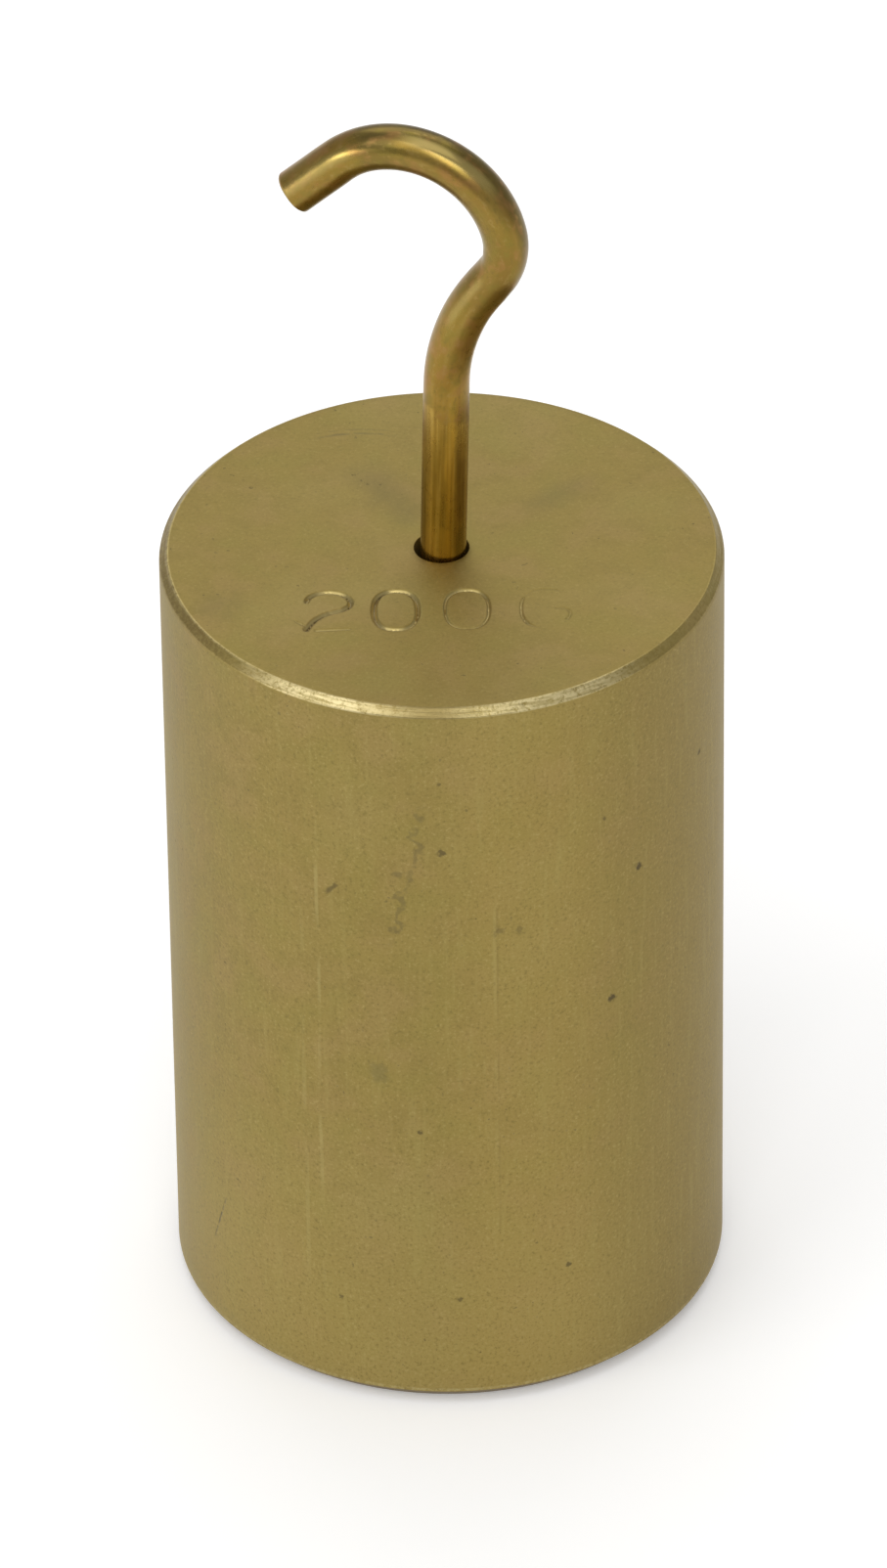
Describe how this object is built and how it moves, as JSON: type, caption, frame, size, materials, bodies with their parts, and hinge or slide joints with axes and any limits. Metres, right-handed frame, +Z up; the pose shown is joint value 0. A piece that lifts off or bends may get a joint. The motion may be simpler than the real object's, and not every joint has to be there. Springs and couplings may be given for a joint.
{
  "type": "hooked weight",
  "caption": "Turned brass cylinder weight with a swivelling hook of bent round rod, for hanging from a spring balance, a cord or another weight.",
  "frame": {"origin": "centre of the base, on the cylinder's axis", "axes": "+Z up along the cylinder's axis; the hook's plane is XZ at rest and its tip points towards -X"},
  "size_m": [0.027, 0.027, 0.0651],
  "materials": {
    "body_brass": "matte, fine blasted",
    "rod_brass": "drawn, lightly tarnished",
    "plug_brass": "turned, satin",
    "inner_brass": "turned, bright",
    "lead_shot": "dull grey"
  },
  "bodies": {
    "weight": {"weight_body": "body_brass", "retaining_disc": "inner_brass", "adjusting_shot": "lead_shot", "base_plug": "plug_brass"},
    "hook": {"hook": "rod_brass", "thrust_washer": "inner_brass"}
  },
  "joints": [
    {"name": "hook_swivel", "type": "hinge", "parent": "weight", "child": "hook", "pos_m": [0, 0, 0.0416], "axis": [0, 0, 1], "continuous": true}
  ]
}
